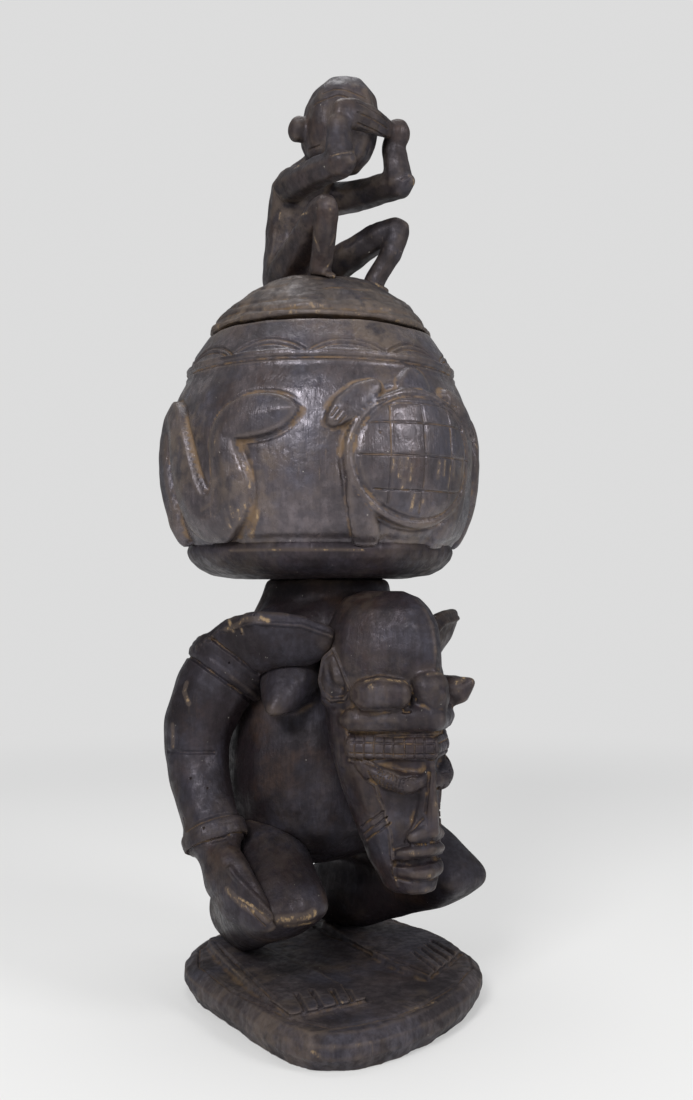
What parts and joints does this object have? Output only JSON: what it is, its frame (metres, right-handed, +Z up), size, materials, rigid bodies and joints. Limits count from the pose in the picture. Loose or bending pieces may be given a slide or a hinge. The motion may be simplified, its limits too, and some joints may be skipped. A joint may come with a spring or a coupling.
{
  "type": "lidded ceremonial container",
  "caption": "Carved wooden container: a crouching bearer on a rounded base carries a globular bowl with animal reliefs; the lid lifts off by a small seated figure.",
  "frame": {"origin": "centre of the base's underside, on the surface the container stands on", "axes": "+Z up, the bearer looks along -Y, +X is the bearer's left"},
  "size_m": [0.2272, 0.2554, 0.6266],
  "materials": {
    "base_wood": "dark patinated wood, matt, dusty at the feet",
    "bearer_wood": "near-black patina with a handled sheen, ochre dust in the grooves, light wear on edges",
    "bowl_wood": "near-black patina, semi-gloss on the raised reliefs",
    "lid_wood": "dark patina, rough tool marks, matt",
    "figure_wood": "dark patina worn brown on knees and elbows"
  },
  "bodies": {
    "vessel": {"base": "base_wood", "bearer_right_leg": "bearer_wood", "bearer_left_leg": "bearer_wood", "bearer_torso": "bearer_wood", "bearer_right_arm": "bearer_wood", "bearer_left_arm": "bearer_wood", "bearer_head": "bearer_wood", "bowl": "bowl_wood"},
    "cover": {"lid": "lid_wood", "lid_figure": "figure_wood"}
  },
  "joints": [
    {"name": "lid_lift", "type": "slide", "parent": "vessel", "child": "cover", "axis": [0, 0, 1], "range_m": [0, 0.2]}
  ]
}
